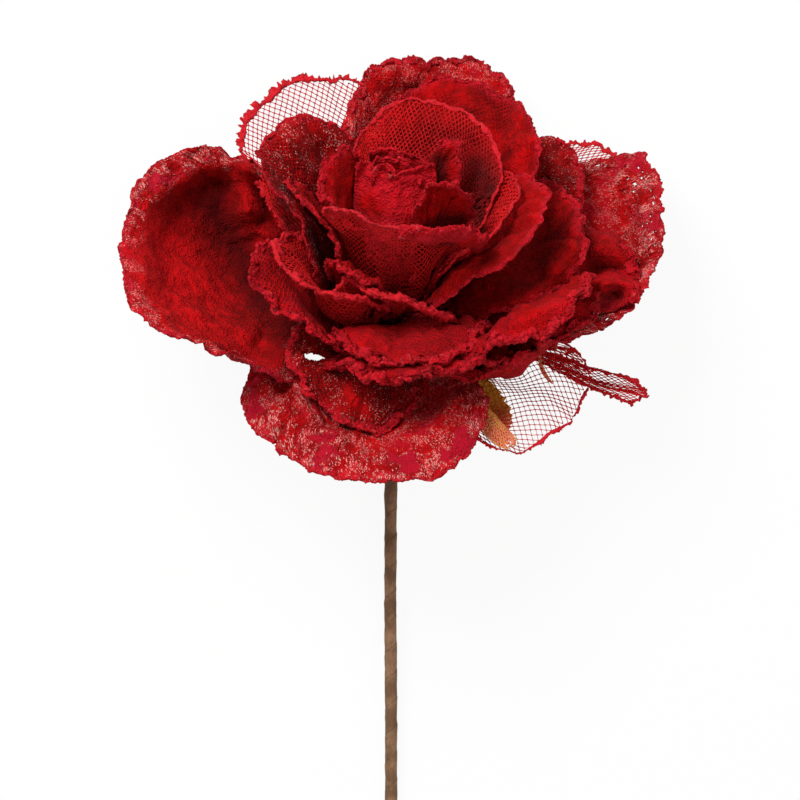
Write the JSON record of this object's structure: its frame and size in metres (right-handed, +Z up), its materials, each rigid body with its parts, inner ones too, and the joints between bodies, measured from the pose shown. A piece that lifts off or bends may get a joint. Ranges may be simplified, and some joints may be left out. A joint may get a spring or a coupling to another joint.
{
  "type": "crepe paper rose",
  "caption": "Large stylised rose of pulp coated crepe petals and stiff net petals, rolled bud in the middle, on a wire stem wrapped in brown paper, lying on its back.",
  "frame": {"origin": "Middle of the part's bounding box on the surface that it lies on.", "axes": "+Z up from that surface; the stem runs along -Y and the top of the bloom is at +Y; +X is the right-hand side of the bloom as it is looked at from above with the stem towards the viewer."},
  "size_m": [0.2156, 0.331, 0.1199],
  "materials": {
    "crepe_red": "matt crumbled red paper pulp on crepe",
    "crepe_sparkle": "red crepe with a glinting open weave",
    "net_red": "stiffened open red net",
    "net_gold": "stiffened open net, gold to salmon",
    "paper_brown": "worn brown paper tape",
    "wire_steel": "drawn wire",
    "glue": "set glue and paper pulp"
  },
  "bodies": {
    "root": {"stem_wire": "wire_steel", "stem_paper_wrap": "paper_brown", "neck_paper_tape": "paper_brown", "glue_core": "glue", "rolled_bud": "crepe_red", "inner_petal_front": "crepe_red", "inner_petal_left": "crepe_red", "inner_petal_folded": "crepe_red", "net_petal_front": "net_red", "net_petal_back": "net_red", "net_petal_right": "net_red", "mid_petal_left": "crepe_red", "mid_petal_front_left": "crepe_red", "mid_petal_right": "crepe_red", "mid_petal_back_left": "crepe_red", "net_petal_low_front": "net_red", "net_petal_low_left": "net_red", "mid_petal_back": "crepe_red", "outer_petal_right_upper": "crepe_red", "front_petal_upper": "crepe_red", "outer_petal_right_front": "crepe_red", "outer_petal_front_left": "crepe_red", "front_petal_lower": "crepe_red", "outer_petal_right": "crepe_red", "outer_petal_right_low": "crepe_red", "fold_petal_low_left": "crepe_red", "outer_petal_top": "crepe_sparkle", "net_petal_top_left": "net_red", "outer_petal_top_right": "crepe_red", "outer_petal_left": "crepe_sparkle", "outer_petal_far_right": "crepe_sparkle", "net_petal_top_right": "net_red", "outer_petal_bottom": "crepe_sparkle", "gold_net_leaf": "net_gold", "net_petal_bottom_right": "net_red", "net_tail_right": "net_red"}
  },
  "joints": []
}
